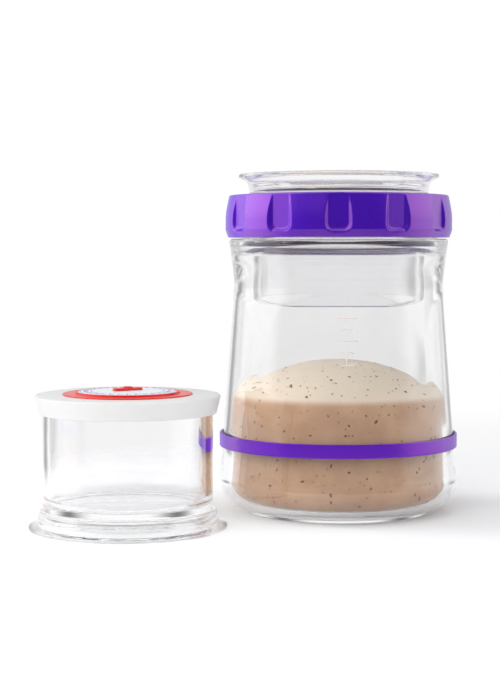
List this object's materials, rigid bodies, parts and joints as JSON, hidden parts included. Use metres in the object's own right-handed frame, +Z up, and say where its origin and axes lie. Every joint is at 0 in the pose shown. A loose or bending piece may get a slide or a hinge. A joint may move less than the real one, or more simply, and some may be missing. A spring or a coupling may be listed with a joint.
{
  "type": "sourdough starter jar",
  "caption": "Panelled glass starter jar with a fluted screw ring, a hanging glass in its mouth and a level band, beside a small lidded glass pot with a date dial.",
  "frame": {"origin": "middle of the jar's flat base, on the surface that it stands on", "axes": "+Z up along the jar's axis; the jar's front panel faces -Y; the pot stands towards -X and -Y"},
  "size_m": [0.1956, 0.1495, 0.1579],
  "materials": {
    "jar_glass": "polished pressed glass",
    "cup_glass": "polished pressed glass",
    "starter_dough": "moist rye dough with dark flecks",
    "band_rubber": "satin silicone",
    "ring_plastic": "semi-gloss moulded plastic",
    "clear_silicone": "translucent silicone",
    "lid_plastic": "satin white moulded plastic",
    "red_plastic": "semi-gloss red moulded plastic",
    "dial_plastic": "white plastic with blue printed numbers"
  },
  "bodies": {
    "jar": {"jar_glass": "jar_glass", "starter_dough": "starter_dough"},
    "band": {"level_band": "band_rubber"},
    "gasket": {"ring_gasket": "clear_silicone"},
    "ring": {"screw_ring": "ring_plastic"},
    "cup": {"hanging_cup": "cup_glass"},
    "pot": {"pot_glass": "cup_glass"},
    "lid": {"lid_shell": "lid_plastic", "lid_seal": "clear_silicone", "stem_grommet": "clear_silicone", "dial_bezel": "red_plastic"},
    "disc": {"date_disc": "dial_plastic"},
    "pointer": {"pointer_knob": "red_plastic", "knob_clip": "lid_plastic"}
  },
  "joints": [
    {"name": "ring_lift", "type": "slide", "parent": "jar", "child": "gasket", "axis": [0, 0, 1], "range_m": [0, 0.0076]},
    {"name": "ring_turn", "type": "hinge", "parent": "gasket", "child": "ring", "pos_m": [0, 0, 0.14], "axis": [0, 0, 1], "range_deg": [0, 450]},
    {"name": "cup_lift", "type": "slide", "parent": "gasket", "child": "cup", "axis": [0, 0, 1], "range_m": [0, 0.07]},
    {"name": "band_slide", "type": "slide", "parent": "jar", "child": "band", "axis": [0, 0, 1], "range_m": [0, 0.045]},
    {"name": "pot_lift", "type": "slide", "parent": "jar", "child": "pot", "axis": [0, 0, 1], "range_m": [0, 0.1]},
    {"name": "lid_lift", "type": "slide", "parent": "pot", "child": "lid", "axis": [0, 0, 1], "range_m": [0, 0.04]},
    {"name": "disc_turn", "type": "hinge", "parent": "lid", "child": "disc", "pos_m": [-0.09561, -0.04956, 0.06], "axis": [0, 0, 1], "continuous": true},
    {"name": "pointer_turn", "type": "hinge", "parent": "lid", "child": "pointer", "pos_m": [-0.09561, -0.04956, 0.06], "axis": [0, 0, 1], "continuous": true}
  ],
  "couplings": [
    {"joint": "ring_lift", "follows": "ring_turn", "m_per_rad": 0.00095493}
  ]
}
